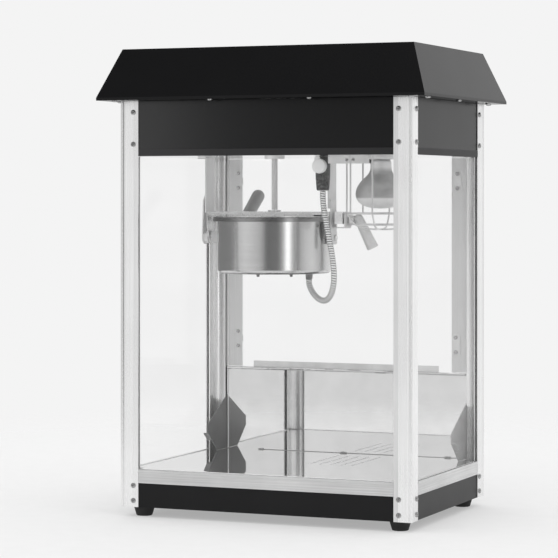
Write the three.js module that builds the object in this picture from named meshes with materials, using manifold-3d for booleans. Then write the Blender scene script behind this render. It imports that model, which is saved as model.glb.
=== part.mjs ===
// Counter-top popcorn machine: glazed aluminium cabinet, sheet-metal base and header, pitched roof,
// tilting kettle with a lifting stirrer shaft, warming lamp, two rear doors and a crumb drawer.
// Millimetres. +X is the customer's right, +Y points to the operator (door) side, +Z is up.
// Heights are counted from the bottom of the corner posts; the whole machine stands FOOT_H higher.
import * as THREE from 'three';
import { mergeVertices } from 'three/addons/utils/BufferGeometryUtils.js';
import Module from 'manifold-3d';

const wasm = await Module();
wasm.setup();

// ---- driving dimensions -------------------------------------------------------------------------
const BODY_W = 506; // across the corner posts, X
const BODY_D = 363; // across the corner posts, Y
const FOOT_H = 16;
const POST_H = 662;
const POST_LEG = 31.8; // width of a post's leg
const SHEET = 1.2; // sheet metal of the base, header and rails
const GAP = 0.3; // between pieces that touch
const FACE_DEPTH = 1.2; // a leg's flat face lies this far behind the post's corner bead
const LEG_T = 1.8; // thickness of a post's leg
const PANE_DEPTH = FACE_DEPTH + LEG_T + GAP; // panels and panes start this far in
const PANE_T = 4; // glass
const CHANNEL_U = 12; // closed end of the channel that holds a panel or pane
const FIN_U = 29; // free end of the channel's inner fin
const BASE_H = 39; // visible height of the base
const DECK_Z = 60; // underside of the popping deck
const RAIL_TOP = 61.2;
const CEILING_Z = 572; // underside of the ceiling
const STRIP_H = 11; // raised strip along the header's lower edge
const ROOF_W = 566;
const ROOF_D = 419;
const ROOF_BOTTOM = POST_H + 0.5;
const ROOF_SKIRT = 4.6; // upright lip along the eaves
const ROOF_TOP = 747.2;
const ROOF_INSET_X = 30.2; // how far the top is smaller than the eaves at each end
const ROOF_INSET_Y = 36;
const ROOF_T = 1.5;
const ROOF_FLANGE = 17; // the return flange ends this far inside the posts' outer faces
const BACK_TOP = 205; // top of the rear panel
const DOOR_TOP = 579;
const DOOR_BOTTOM = 207;
const DOOR_Y = 180.2; // inner face of the doors
const HINGE_X = 199;
const HINGE_Y = 182;
const KETTLE_X = -56; // kettle and stirrer axis
const KETTLE_R = 95.5; // jacket
const KETTLE_BOTTOM = 378.5;
const KETTLE_RIM = 472;
const TILT_Z = 438; // trunnion height
const BRIDGE_TOP = 481;
const BRIDGE_HALF = 17; // half the width of the bridge and hangers
const SHAFT_R = 5;
const SHAFT_BOTTOM = 484.2;
const SHAFT_TOP = 630;
const LATCH_Z = 467; // latch shaft height
const LAMP_X = 156;
const LAMP_Y = -60;
const GUARD_R = 57;
const PLUG_X = 47;
const PLUG_Y = -40;
const CONDUIT_R = 5;

const HALF_W = BODY_W / 2;
const HALF_D = BODY_D / 2;
const PANEL_X = HALF_W - PANE_DEPTH; // outer face of side panels and panes
const PANEL_Y = HALF_D - PANE_DEPTH; // outer face of front and rear panels and panes
const SPAN_X = HALF_W - CHANNEL_U - 0.4; // half length of a panel that runs in two channels
const SPAN_Y = HALF_D - CHANNEL_U - 0.4;
const CORE_X = HALF_W - FIN_U - 0.4; // inside faces of the posts' cores
const CORE_Y = HALF_D - FIN_U - 0.4;
const OPEN_X = HALF_W - POST_LEG - GAP; // half the distance between post legs
const OPEN_Y = HALF_D - POST_LEG - GAP;

// ---- finishes -----------------------------------------------------------------------------------
const finish = (color, roughness, metalness, extra = {}) =>
  new THREE.MeshStandardMaterial({ color, roughness, metalness, ...extra });
const BLACK = finish(0x1c1c1c, 0.45, 0.2);
const ALUMINIUM = finish(0xd8d9da, 0.35, 0.9);
const STAINLESS = finish(0xc4c5c6, 0.25, 1);
const MIRROR = finish(0xd4d5d6, 0.08, 1);
const GLASS = finish(0xeef4f2, 0.03, 0, { transparent: true, opacity: 0.18 });
const RUBBER = finish(0x111111, 0.8, 0);
const GRIP = finish(0x5a5a5c, 0.5, 0);
const PALE_GRIP = finish(0xa8a9ab, 0.5, 0);
const NYLON = finish(0xe6e6e4, 0.5, 0);
const DARK_PLASTIC = finish(0x3c3d3f, 0.6, 0);
const BULB = finish(0xb9babb, 0.2, 0.3);

// ---- shape helpers ------------------------------------------------------------------------------
function solid(geometry) {
  const bare = geometry.clone();
  bare.deleteAttribute('normal');
  bare.deleteAttribute('uv');
  const merged = mergeVertices(bare, 1e-4);
  return new wasm.Manifold(new wasm.Mesh({
    numProp: 3,
    vertProperties: new Float32Array(merged.attributes.position.array),
    triVerts: new Uint32Array(merged.index.array),
  }));
}

function geometryOf(body) {
  const mesh = body.getMesh();
  const geometry = new THREE.BufferGeometry();
  geometry.setAttribute('position', new THREE.BufferAttribute(mesh.vertProperties, 3));
  geometry.setIndex(new THREE.BufferAttribute(mesh.triVerts, 1));
  geometry.computeVertexNormals();
  return geometry;
}

const join = (...shapes) => geometryOf(shapes.map(solid).reduce((a, b) => a.add(b)));
const cut = (shape, ...tools) =>
  geometryOf(tools.map(solid).reduce((a, b) => a.subtract(b), solid(shape)));
const common = (a, b) => geometryOf(solid(a).intersect(solid(b)));

function box([x0, x1], [y0, y1], [z0, z1]) {
  const geometry = new THREE.BoxGeometry(x1 - x0, y1 - y0, z1 - z0);
  return geometry.translate((x0 + x1) / 2, (y0 + y1) / 2, (z0 + z1) / 2);
}

// A round bar from one point to another; r2 tapers it.
function bar(from, to, r, segments = 24, r2 = r) {
  const a = new THREE.Vector3(...from);
  const b = new THREE.Vector3(...to);
  const geometry = new THREE.CylinderGeometry(r2, r, a.distanceTo(b), segments);
  const turn = new THREE.Quaternion().setFromUnitVectors(
    new THREE.Vector3(0, 1, 0), b.clone().sub(a).normalize());
  return geometry.applyQuaternion(turn).translate(...a.add(b).multiplyScalar(0.5).toArray());
}

// A profile of [radius, height] points turned about the vertical line through (x, y).
function turned(profile, x, y, segments = 48) {
  const points = profile.map(([r, z]) => new THREE.Vector2(r, z));
  const geometry = new THREE.LatheGeometry(points, segments);
  return geometry.rotateX(Math.PI / 2).translate(x, y, 0);
}

function outline(points) {
  return new THREE.Shape(points.map(([x, y]) => new THREE.Vector2(x, y)));
}

// An outline in (X, Y) raised from z0 to z1.
function raised(shape, [z0, z1], curveSegments = 12) {
  const options = { depth: z1 - z0, bevelEnabled: false, curveSegments };
  return new THREE.ExtrudeGeometry(shape, options).translate(0, 0, z0);
}

// An outline in (Y, Z) raised from x0 to x1.
function across(shape, [x0, x1], curveSegments = 12) {
  const options = { depth: x1 - x0, bevelEnabled: false, curveSegments };
  const geometry = new THREE.ExtrudeGeometry(shape, options);
  return geometry.rotateX(Math.PI / 2).rotateZ(Math.PI / 2).translate(x0, 0, 0);
}

// A pair of limits, or its mirror image on the negative side.
const mirrored = (side, [a, b]) => (side > 0 ? [a, b] : [-b, -a]);

const machine = new THREE.Group();
machine.position.z = FOOT_H;

function piece(name, geometry, material) {
  const mesh = new THREE.Mesh(geometry, material);
  mesh.name = name;
  machine.add(mesh);
}

// ---- cabinet frame ------------------------------------------------------------------------------
// Half of a post's outline, from the corner bead along one leg to the fin; (u, v) run from the
// outer corner along the leg and into the cabinet. The other half is its mirror image.
function postShape() {
  const beadR = 3;
  const coveEnd = 8.8;
  const slopeU = 23.6; // beyond this the face slopes back
  const half = [
    [beadR, 0], [4.2, 0.1], [5, 0.5], [6.6, 1], [coveEnd, FACE_DEPTH], [slopeU, FACE_DEPTH],
    [POST_LEG, FACE_DEPTH + 0.7], [POST_LEG, FACE_DEPTH + LEG_T], [CHANNEL_U, FACE_DEPTH + LEG_T],
    [CHANNEL_U, PANE_DEPTH + PANE_T + GAP], [FIN_U, PANE_DEPTH + PANE_T + GAP], [FIN_U, 9],
  ];
  const shape = new THREE.Shape();
  shape.moveTo(...half[0]);
  half.slice(1).forEach(([u, v]) => shape.lineTo(u, v));
  shape.absarc(FIN_U, FIN_U, 20, -Math.PI / 2, -Math.PI, true);
  [...half].reverse().forEach(([u, v]) => shape.lineTo(v, u));
  shape.absarc(beadR, beadR, beadR, Math.PI, 1.5 * Math.PI, false);
  const screwPort = new THREE.Path();
  screwPort.absarc(7, 7, 3.2, 0, 2 * Math.PI, false);
  shape.holes.push(screwPort);
  return shape;
}

// In the order of quarter turns from the corner that postShape draws.
const CORNERS = [['front_left', -1, -1], ['front_right', 1, -1], ['rear_right', 1, 1], ['rear_left', -1, 1]];
const FOOT_X = 223;
const FOOT_Y = 153;

CORNERS.forEach(([corner, sx, sy], quarter) => {
  const geometry = raised(postShape(), [0, POST_H], 7);
  geometry.rotateZ(quarter * Math.PI / 2).translate(sx * HALF_W, sy * HALF_D, 0);
  piece(`post_${corner}`, geometry, ALUMINIUM);

  const foot = [[0, -FOOT_H], [12.3, -FOOT_H], [13.3, -FOOT_H + 1], [17.2, -1.5], [17.2, -GAP], [0, -GAP]];
  piece(`foot_${corner}`, turned(foot, sx * FOOT_X, sy * FOOT_Y, 28), RUBBER);
});

// A folded tray: a plate between the posts' cores with a wall standing on each of its four edges.
function tray(plateZ, wallZ) {
  const plate = [
    box([-CORE_X, CORE_X], [-PANEL_Y, PANEL_Y], plateZ),
    box([-PANEL_X, PANEL_X], [-CORE_Y, CORE_Y], plateZ),
  ];
  const walls = [-1, 1].flatMap((side) => [
    box([-SPAN_X, SPAN_X], mirrored(side, [PANEL_Y - SHEET, PANEL_Y]), wallZ),
    box(mirrored(side, [PANEL_X - SHEET, PANEL_X]), [-SPAN_Y, SPAN_Y], wallZ),
  ]);
  return join(...plate, ...walls);
}

// Crumb drawer under the slotted part of the deck; its front closes a window in the base's rear wall.
const DRAWER_X = [-20, 102];
const DRAWER_Y = [-12, PANEL_Y + GAP];
const DRAWER_Z = [4, 44];
const drawerWindow = box(
  [DRAWER_X[0] - 1, DRAWER_X[1] + 1], [PANEL_Y - 5, PANEL_Y + 5], [DRAWER_Z[0] - 1, DRAWER_Z[1] + 1]);
const baseWalls = [0, BASE_H + 10];
piece('base_box', cut(tray([0, SHEET], baseWalls), drawerWindow), BLACK);

// Bottom rails cover the joint between base and glazing; a shallow lip runs along the upper edge.
const RAIL_Z0 = BASE_H + 0.4;
const railFace = -HALF_D + 1.6; // the front rail's outer face
const railBack = -PANEL_Y - GAP;
const recess = 0.5; // depth of the band between its two lips
const railSection = outline([
  [railFace, RAIL_Z0], [railBack, RAIL_Z0], [railBack, RAIL_TOP], [railFace + 0.8, RAIL_TOP],
  [railFace, RAIL_TOP - 0.8], [railFace, RAIL_TOP - 4], [railFace + recess, RAIL_TOP - 4.6],
  [railFace + recess, RAIL_Z0 + 3.2], [railFace, RAIL_Z0 + 2.6],
]);
piece('rail_front', across(railSection, [-OPEN_X, OPEN_X]), ALUMINIUM);
for (const [name, side] of [['rail_left', -1], ['rail_right', 1]]) {
  const geometry = across(railSection, [-OPEN_Y, OPEN_Y]).rotateZ(side * Math.PI / 2);
  piece(name, geometry.translate(side * (HALF_W - HALF_D), 0, 0), ALUMINIUM);
}

const GLASS_Z = [BASE_H + 11, CEILING_Z - 0.4];
piece('glass_front', box([-SPAN_X, SPAN_X], [-PANEL_Y, -PANEL_Y + PANE_T], GLASS_Z), GLASS);
for (const [name, side] of [['glass_left', -1], ['glass_right', 1]]) {
  const x = mirrored(side, [PANEL_X - PANE_T, PANEL_X]);
  piece(name, box(x, [-SPAN_Y, SPAN_Y], GLASS_Z), GLASS);
}

// ---- deck and rear wall -------------------------------------------------------------------------
const SLOT_W = 2.6;
const SLOTS = 5;
const SLOT_PITCH = 18.7;
const SLOT_X0 = 5;
const SLOT_Y = [5, 140];

function deckShape() {
  const x = PANEL_X - PANE_T - 0.8;
  const yFront = -PANEL_Y + PANE_T + 0.8;
  const yBack = PANEL_Y - SHEET - 0.4;
  const shape = outline([
    [-CORE_X, yFront], [CORE_X, yFront], [CORE_X, -CORE_Y], [x, -CORE_Y], [x, CORE_Y], [CORE_X, CORE_Y],
    [CORE_X, yBack], [-CORE_X, yBack], [-CORE_X, CORE_Y], [-x, CORE_Y], [-x, -CORE_Y], [-CORE_X, -CORE_Y],
  ]);
  for (let i = 0; i < SLOTS; i += 1) {
    const slot = new THREE.Path();
    slot.absarc(SLOT_X0 + i * SLOT_PITCH, SLOT_Y[0], SLOT_W / 2, Math.PI, 2 * Math.PI, false);
    slot.absarc(SLOT_X0 + i * SLOT_PITCH, SLOT_Y[1], SLOT_W / 2, 0, Math.PI, false);
    shape.holes.push(slot);
  }
  return shape;
}
piece('deck_plate', raised(deckShape(), [DECK_Z, DECK_Z + SHEET], 3), MIRROR);

// The rear panel's upper edge is rolled into a hem.
const HEM_R = 2.6;
const backPanel = join(
  box([-SPAN_X, SPAN_X], [PANEL_Y - SHEET, PANEL_Y], [BASE_H + 10.4, BACK_TOP]),
  bar([-OPEN_X, PANEL_Y - HEM_R, BACK_TOP - 1], [OPEN_X, PANEL_Y - HEM_R, BACK_TOP - 1], HEM_R, 12),
);
piece('back_panel', backPanel, MIRROR);
piece('door_stop_strip', box([-172, 172], [PANEL_Y + GAP, PANEL_Y + GAP + SHEET], [190, 217]), STAINLESS);

// The right jamb is slightly narrower than the left one.
for (const [name, side, edge] of [['door_jamb_left', -1, 193], ['door_jamb_right', 1, 196]]) {
  const x = mirrored(side, [edge, SPAN_X]);
  piece(name, box(x, [PANEL_Y - SHEET, PANEL_Y], [BACK_TOP + 2.2, CEILING_Z - 0.4]), ALUMINIUM);
}

// Gusset plates that keep popcorn out of the rear corners, each with a small foot folded outwards.
for (const [name, side] of [['corner_deflector_left', -1], ['corner_deflector_right', 1]]) {
  const yBack = PANEL_Y - SHEET - 0.4;
  const z0 = DECK_Z + SHEET + 0.4;
  const plate = outline([[yBack, z0], [yBack, 155.5], [95.5, 111], [95.5, 95], [133, z0]]);
  const foot = outline([[97, 93.7], [112, 80.6], [112.8, 81.5], [97.8, 94.6]]);
  const deflector = join(
    across(plate, mirrored(side, [CORE_X - 1.6, CORE_X - 0.4])),
    across(foot, mirrored(side, [CORE_X - 1, CORE_X + 8])),
  );
  piece(name, deflector, STAINLESS);
}

// ---- header, roof and what they hold ------------------------------------------------------------
const SOCKET_R = 21;
const WALL_TOP = POST_H;
const SWITCH_X = [-165, -75];
const SWITCH_Z = [612, 646];
const INLET = [196, 626];

function headerBox() {
  const strips = [-1, 1].flatMap((side) => [
    box([-OPEN_X, OPEN_X], mirrored(side, [PANEL_Y - 0.2, HALF_D - 1.5]), [CEILING_Z, CEILING_Z + STRIP_H]),
    box(mirrored(side, [PANEL_X - 0.2, HALF_W - 1.5]), [-OPEN_Y, OPEN_Y], [CEILING_Z, CEILING_Z + STRIP_H]),
  ]);
  const bearingFlange = bar([KETTLE_X, 0, CEILING_Z - 3], [KETTLE_X, 0, CEILING_Z + 0.5], 17, 32);
  const folded = join(tray([CEILING_Z, CEILING_Z + SHEET], [CEILING_Z, WALL_TOP]), ...strips, bearingFlange);
  return cut(
    folded,
    bar([KETTLE_X, 0, CEILING_Z - 9], [KETTLE_X, 0, CEILING_Z + 9], SHAFT_R + 1.5, 24),
    bar([LAMP_X, LAMP_Y, CEILING_Z - 9], [LAMP_X, LAMP_Y, CEILING_Z + 9], SOCKET_R + 0.6, 32),
    box([PLUG_X - 12, PLUG_X + 12], [PLUG_Y - 12, PLUG_Y + 12], [CEILING_Z - 9, CEILING_Z + 9]),
    box([SWITCH_X[0] + 4, SWITCH_X[1] - 4], [PANEL_Y - 9, PANEL_Y + 9], [SWITCH_Z[0] + 4, SWITCH_Z[1] - 4]),
    bar([INLET[0], PANEL_Y - 9, INLET[1]], [INLET[0], PANEL_Y + 9, INLET[1]], 8.4, 24),
  );
}
piece('header_box', headerBox(), BLACK);

// A box whose top is smaller than its bottom by an inset on every side.
function pitched(w, d, [z0, z1], insetX, insetY) {
  const geometry = box([-w / 2, w / 2], [-d / 2, d / 2], [z0, z1]);
  const position = geometry.attributes.position;
  for (let i = 0; i < position.count; i += 1) {
    if (position.getZ(i) > (z0 + z1) / 2) {
      position.setX(i, position.getX(i) - Math.sign(position.getX(i)) * insetX);
      position.setY(i, position.getY(i) - Math.sign(position.getY(i)) * insetY);
    }
  }
  return geometry;
}

function roofShell() {
  const eaves = ROOF_BOTTOM + ROOF_SKIRT;
  const flangeX = HALF_W - ROOF_FLANGE;
  const flangeY = HALF_D - ROOF_FLANGE;
  const innerW = ROOF_W - 2 * ROOF_T;
  const innerD = ROOF_D - 2 * ROOF_T;
  const outer = join(
    box([-ROOF_W / 2, ROOF_W / 2], [-ROOF_D / 2, ROOF_D / 2], [ROOF_BOTTOM, eaves]),
    pitched(ROOF_W, ROOF_D, [eaves - 0.001, ROOF_TOP], ROOF_INSET_X, ROOF_INSET_Y),
  );
  const hollow = join(
    box([-innerW / 2, innerW / 2], [-innerD / 2, innerD / 2], [ROOF_BOTTOM + ROOF_T, eaves]),
    pitched(innerW, innerD, [eaves - 0.001, ROOF_TOP - ROOF_T], ROOF_INSET_X, ROOF_INSET_Y),
  );
  return cut(outer, hollow, box([-flangeX, flangeX], [-flangeY, flangeY], [ROOF_BOTTOM - 5, eaves]));
}
piece('roof', roofShell(), BLACK);

// Gear motor on the ceiling: the gearbox has the through-bore that the stirrer shaft slides in.
const GEARBOX_Z = [CEILING_Z + SHEET + 0.4, 610];
const gearMotor = cut(
  join(
    box([-150, -28], [-30, 30], GEARBOX_Z),
    bar([-116, 0, GEARBOX_Z[1] - 2], [-116, 0, 664], 30, 32),
  ),
  bar([KETTLE_X, 0, CEILING_Z], [KETTLE_X, 0, 620], SHAFT_R + 1.5, 24),
);
piece('gear_motor', gearMotor, STAINLESS);

piece('kettle_power_socket',
  box([PLUG_X - 11, PLUG_X + 11], [PLUG_Y - 11, PLUG_Y + 11], [CEILING_Z + 0.2, 598]), DARK_PLASTIC);

const inletGland = join(
  bar([INLET[0], PANEL_Y - 8, INLET[1]], [INLET[0], PANEL_Y + 2, INLET[1]], 8, 24),
  bar([INLET[0], PANEL_Y + GAP, INLET[1]], [INLET[0], PANEL_Y + 5, INLET[1]], 13, 6),
  bar([INLET[0], PANEL_Y + 4, INLET[1]], [INLET[0], PANEL_Y + 20, INLET[1]], 11, 24, 8),
);
const inletBore = bar([INLET[0], PANEL_Y - 20, INLET[1]], [INLET[0], PANEL_Y + 30, INLET[1]], 4.2, 24);
piece('power_inlet_gland', cut(inletGland, inletBore), DARK_PLASTIC);

// Three rocker switches in one bezel on the header's rear face.
const ROCKER_PITCH = 27;
const ROCKER_W = 19;
const ROCKER_H = 22;
const rockerX = (i) => (SWITCH_X[0] + SWITCH_X[1]) / 2 + (i - 1) * ROCKER_PITCH;
const rockerZ = (SWITCH_Z[0] + SWITCH_Z[1]) / 2;
const rockerWindows = [0, 1, 2].map((i) => box(
  [rockerX(i) - ROCKER_W / 2 - 0.6, rockerX(i) + ROCKER_W / 2 + 0.6], [PANEL_Y - 9, PANEL_Y + 9],
  [rockerZ - ROCKER_H / 2 - 1.6, rockerZ + ROCKER_H / 2 + 1.6]));
piece('switch_bezel',
  cut(box(SWITCH_X, [PANEL_Y + GAP, PANEL_Y + 2.3], SWITCH_Z), ...rockerWindows), DARK_PLASTIC);

['rocker_heat', 'rocker_stirrer', 'rocker_lamp'].forEach((name, i) => {
  // Both halves of the face slope up from the pivot line, as a rocker's do.
  const face = PANEL_Y + 3;
  const profile = outline([
    [face - 8, rockerZ - ROCKER_H / 2 + 2], [face + 1, rockerZ - ROCKER_H / 2], [face, rockerZ],
    [face + 3.6, rockerZ + ROCKER_H / 2], [face - 8, rockerZ + ROCKER_H / 2 - 2],
  ]);
  piece(name, across(profile, [rockerX(i) - ROCKER_W / 2, rockerX(i) + ROCKER_W / 2]), RUBBER);
});

// ---- rear doors ---------------------------------------------------------------------------------
const LEAF_X = 213;
const HINGE_HEIGHTS = [['upper', 515, 550], ['lower', 239, 272]];
const KNUCKLE_R = 2.7;

for (const [name, side] of [['left', -1], ['right', 1]]) {
  for (const [level, z0, z1] of HINGE_HEIGHTS) {
    const leafX = mirrored(side, [HINGE_X + 1, LEAF_X]);
    const knuckle = bar([side * HINGE_X, HINGE_Y, z0], [side * HINGE_X, HINGE_Y, z1], KNUCKLE_R, 16);
    const leaf = box(leafX, [PANEL_Y + GAP, PANEL_Y + GAP + 1.3], [z0, z1]);
    piece(`hinge_${name}_${level}`, join(knuckle, leaf), STAINLESS);
  }
  const x = mirrored(side, [0.6, HINGE_X - 3.5]);
  piece(`door_${name}`, box(x, [DOOR_Y, DOOR_Y + PANE_T], [DOOR_BOTTOM, DOOR_TOP]), GLASS);
}

// ---- kettle hangers and latch -------------------------------------------------------------------
const HANGER_X = [-176.2, -174.2];
const PIN_HOLE_R = 5.3;
const PIN_R = 5;
const hole = (x, z, r) => bar([x - 30, 0, z], [x + 30, 0, z], r, 24);

const hangerLeft = join(
  box(HANGER_X, [-BRIDGE_HALF, BRIDGE_HALF], [478.5, CEILING_Z - 0.4]),
  box([HANGER_X[0] - 14, HANGER_X[1]], [-BRIDGE_HALF, BRIDGE_HALF], [CEILING_Z - 2.4, CEILING_Z - 0.4]),
);
piece('hanger_left', hangerLeft, STAINLESS);

// Bearing strap for the left trunnion: it stands off from the hanger and ends in a round eye with a
// thick bush behind it.
const STRAP_T = 2;
const STRAP_HALF = 8; // half its width above the eye
const STRAP_TOP = 533;
const STRAP_BENDS = [515, 500]; // heights between which it steps out
const EYE_R = 12;
function hookPlate() {
  const x = HANGER_X[0] - GAP;
  const standOff = x - 6;
  const [bendTop, bendBottom] = STRAP_BENDS;
  const side = [[x, STRAP_TOP], [x, bendTop], [standOff, bendBottom], [standOff, TILT_Z - EYE_R]];
  const bent = outline([...side, ...side.map(([a, z]) => [a - STRAP_T, z - 0.6]).reverse()]);
  const face = new THREE.Shape();
  face.moveTo(-STRAP_HALF, STRAP_TOP + 7);
  face.lineTo(-STRAP_HALF, bendBottom);
  face.lineTo(-EYE_R, TILT_Z);
  face.absarc(0, TILT_Z, EYE_R, Math.PI, 2 * Math.PI, false);
  face.lineTo(STRAP_HALF, bendBottom);
  face.lineTo(STRAP_HALF, STRAP_TOP + 7);
  // The bent profile is drawn in (X, Z), so it is turned to run along Y.
  const strap = common(
    across(bent, [-EYE_R - 1, EYE_R + 1]).rotateZ(-Math.PI / 2),
    across(face, [standOff - 5, x + 1]));
  const bush = bar([standOff - 0.5, 0, TILT_Z], [HANGER_X[1], 0, TILT_Z], EYE_R - 1, 32);
  return cut(join(strap, bush), hole(x, TILT_Z, PIN_HOLE_R));
}
piece('hook_plate_left', hookPlate(), STAINLESS);

const RIGHT_X = [46.2, 48.2];
const hangerRight = join(
  box(RIGHT_X, [-BRIDGE_HALF, BRIDGE_HALF], [486.5, CEILING_Z - 0.4]),
  box([RIGHT_X[0], RIGHT_X[1] + 12], [-BRIDGE_HALF, BRIDGE_HALF], [CEILING_Z - 2.4, CEILING_Z - 0.4]),
);
piece('hanger_right', hangerRight, STAINLESS);

// Right bracket: an inner plate with the trunnion hole, a shelf, and an outer plate; the latch shaft
// runs through both plates and the nylon block between them.
const INNER_X = [50.8, 52.8];
const OUTER_X = [75.5, 77.5];
const BLOCK_X = [58.3, 72.1];
const BLOCK_Z = [461, 481];
const SHELF_Z = 454;
const LATCH_HOLE_R = 4.3;
function latchBracket() {
  const inner = outline([[-9, 429], [-5, 427], [5, 427], [9, 429], [9, 447], [6, 452], [6, 500],
    [-BRIDGE_HALF, 500], [-BRIDGE_HALF, 446]]);
  const outer = outline([[-BRIDGE_HALF, SHELF_Z], [8, SHELF_Z], [BRIDGE_HALF, 463], [BRIDGE_HALF, 479],
    [-BRIDGE_HALF, 479]]);
  const shelf = box([INNER_X[0], OUTER_X[1]], [-BRIDGE_HALF, 8], [SHELF_Z, SHELF_Z + 1.6]);
  const spacer = box([RIGHT_X[1] + GAP, INNER_X[1]], [-BRIDGE_HALF, 6], [488, 500]);
  return cut(
    join(across(inner, INNER_X), across(outer, OUTER_X), shelf, spacer),
    bar([INNER_X[0] - 2, 0, TILT_Z], [INNER_X[1] + 5, 0, TILT_Z], PIN_HOLE_R, 24),
    hole(OUTER_X[0], LATCH_Z, LATCH_HOLE_R),
  );
}
piece('latch_bracket', latchBracket(), STAINLESS);

const block = box(BLOCK_X, [-16.5, 16.5], BLOCK_Z);
piece('latch_bearing_block', cut(block, hole(BLOCK_X[0], LATCH_Z, LATCH_HOLE_R)), NYLON);

// Latch lever: shaft, hub and a tapered grip that hangs outwards and down.
const LEVER_X = 95.5;
const LEVER_END = [118, 5, 421];
const latchLever = join(
  bar([INNER_X[0] - 0.6, 0, LATCH_Z], [LEVER_X, 0, LATCH_Z], 4, 20),
  bar([OUTER_X[1] + 1.5, 0, LATCH_Z], [LEVER_X + 6, 0, LATCH_Z], 8, 24),
  bar([LEVER_X, -2, LATCH_Z + 3], LEVER_END, 7.6, 24, 9.8),
);
piece('latch_lever', latchLever, PALE_GRIP);

// ---- kettle -------------------------------------------------------------------------------------
// Outer jacket: a cup with a rounded bottom edge, from the axis out, up the wall and back inside.
const JACKET_TOP = 470.2;
const KETTLE_SIDES = 40;
function jacketProfile() {
  const edge = 7.5;
  const wall = 1.2;
  const points = [[0, KETTLE_BOTTOM]];
  for (let i = 0; i <= 5; i += 1) {
    const a = -Math.PI / 2 + (i / 5) * (Math.PI / 2);
    points.push([KETTLE_R - edge + edge * Math.cos(a), KETTLE_BOTTOM + edge + edge * Math.sin(a)]);
  }
  points.push([KETTLE_R, JACKET_TOP], [KETTLE_R - wall, JACKET_TOP]);
  points.push([KETTLE_R - wall, KETTLE_BOTTOM + edge], [KETTLE_R - edge, KETTLE_BOTTOM + wall]);
  points.push([0, KETTLE_BOTTOM + wall]);
  return points;
}
// Gland for the conduit, screwed into the underside beside the axis.
const GLAND = [8.5, -5.5];
const jacket = join(
  turned(jacketProfile(), KETTLE_X, 0, KETTLE_SIDES),
  bar([...GLAND, 368.5], [...GLAND, KETTLE_BOTTOM + 0.6], 7.5, 6),
);
piece('kettle_jacket', jacket, STAINLESS);

// Inner pan: its flange reaches out over the jacket and ends in a skirt.
const PAN_R = 91;
const PAN_FLOOR = 394.5;
const FLANGE_R = 103.2;
const FLANGE_Z = KETTLE_RIM - 1.4;
const SKIRT_Z = 464.9;
const pan = [
  [0, PAN_FLOOR - 1.2], [PAN_R - 4, PAN_FLOOR - 1.2], [PAN_R + 1.2, PAN_FLOOR + 4], [PAN_R + 1.2, FLANGE_Z],
  [FLANGE_R - 1.2, FLANGE_Z], [FLANGE_R - 1.2, SKIRT_Z], [FLANGE_R, SKIRT_Z],
  [FLANGE_R, FLANGE_Z + 0.6], [FLANGE_R - 0.8, KETTLE_RIM], [PAN_R, KETTLE_RIM], [PAN_R, PAN_FLOOR + 4.6],
  [PAN_R - 4.6, PAN_FLOOR], [0, PAN_FLOOR],
];
piece('kettle_pan', turned(pan, KETTLE_X, 0, KETTLE_SIDES), STAINLESS);

const PLATE_R = 85;
const PLATE_Z = [381, 392.8];
const plateProfile = [[0, PLATE_Z[0]], [PLATE_R - 2, PLATE_Z[0]], [PLATE_R, PLATE_Z[0] + 2],
  [PLATE_R, PLATE_Z[1] - 1.8], [PLATE_R - 2, PLATE_Z[1]], [0, PLATE_Z[1]]];
piece('heating_plate', turned(plateProfile, KETTLE_X, 0, 32), ALUMINIUM);

// Bridge over the pan: a shallow channel with an ear, a weld block and a trunnion pin at each end.
const EAR_LEFT = [-173.5, -171.5];
const EAR_RIGHT = [47.6, 49.6];
function bridge() {
  const z0 = 476;
  const lip = 1.5;
  const ear = new THREE.Shape();
  ear.moveTo(-BRIDGE_HALF, BRIDGE_TOP);
  ear.lineTo(-BRIDGE_HALF, 456);
  ear.lineTo(-10, TILT_Z);
  ear.absarc(0, TILT_Z, 10, Math.PI, 2 * Math.PI, false);
  ear.lineTo(BRIDGE_HALF, 456);
  ear.lineTo(BRIDGE_HALF, BRIDGE_TOP);
  const bush = bar([KETTLE_X, 0, BRIDGE_TOP - 1], [KETTLE_X, 0, 483.4], 11, 28);
  const span = [EAR_LEFT[0], EAR_RIGHT[1]];
  const strap = join(
    box(span, [-BRIDGE_HALF, BRIDGE_HALF], [BRIDGE_TOP - 1.8, BRIDGE_TOP]),
    box(span, [-BRIDGE_HALF, -BRIDGE_HALF + lip], [z0, BRIDGE_TOP]),
    box(span, [BRIDGE_HALF - lip, BRIDGE_HALF], [z0, BRIDGE_TOP]),
    bush,
    across(ear, EAR_LEFT),
    across(ear, EAR_RIGHT),
    box([EAR_LEFT[1] - 0.5, KETTLE_X - KETTLE_R - 0.4], [-8, 8], [428, 448]),
    box([KETTLE_X + KETTLE_R + 0.4, EAR_RIGHT[0] + 0.5], [-8, 8], [428, 448]),
    bar([EAR_LEFT[0] + 0.5, 0, TILT_Z], [-183, 0, TILT_Z], PIN_R, 24),
    bar([EAR_RIGHT[1] - 0.5, 0, TILT_Z], [55.5, 0, TILT_Z], PIN_R, 24),
  );
  return cut(strap, bar([KETTLE_X, 0, 470], [KETTLE_X, 0, 490], 6, 24));
}
piece('kettle_bridge', bridge(), STAINLESS);

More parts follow.
